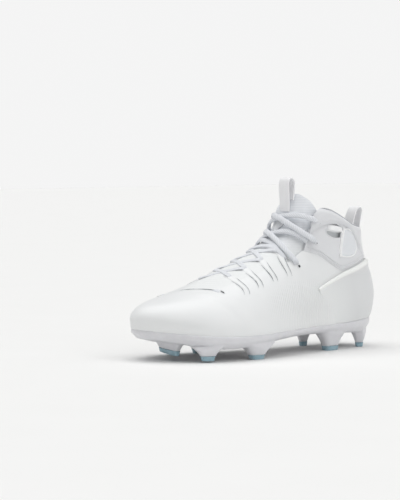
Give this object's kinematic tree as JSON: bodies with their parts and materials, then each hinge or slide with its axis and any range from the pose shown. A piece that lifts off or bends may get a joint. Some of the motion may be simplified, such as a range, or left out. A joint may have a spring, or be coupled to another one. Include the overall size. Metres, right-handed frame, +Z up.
{
  "type": "lacrosse cleat",
  "caption": "Mid-cut lacrosse cleat with a hollow shell on a studded plate, laced throat, padded ankle cuff with side windows, and pull loops at tongue and heel.",
  "frame": {"origin": "on the floor, under the middle of the shoe's overall box", "axes": "+X from toe to heel, +Y toward the inner side of the foot, +Z up from the floor"},
  "size_m": [0.2865, 0.1054, 0.1702],
  "materials": {
    "shell": "white coated textile, low sheen",
    "plate": "moulded plastic, satin",
    "stud_tip": "tinted moulded plastic",
    "footbed": "cloth over foam",
    "counter": "moulded sheet, satin",
    "cuff": "padded coated textile",
    "tongue_knit": "soft knit",
    "label": "plain moulded label",
    "webbing": "woven webbing",
    "lace": "woven oval lace"
  },
  "bodies": {
    "root": {"upper": "shell", "outsole_plate": "plate", "stud_tip_toe": "stud_tip", "stud_tip_fore_outer": "stud_tip", "stud_tip_fore_inner": "stud_tip", "stud_tip_ball_outer": "stud_tip", "stud_tip_ball_inner": "stud_tip", "stud_tip_heel_front_outer": "stud_tip", "stud_tip_heel_front_inner": "stud_tip", "stud_tip_heel_rear_outer": "stud_tip", "stud_tip_heel_rear_inner": "stud_tip", "insole": "footbed", "heel_counter": "counter", "ankle_cuff": "cuff", "ankle_tab_outer": "cuff", "ankle_tab_inner": "cuff", "tongue": "tongue_knit", "tongue_badge": "label", "tongue_pull_loop": "webbing", "heel_pull_loop": "webbing", "lacing": "lace"}
  },
  "joints": []
}
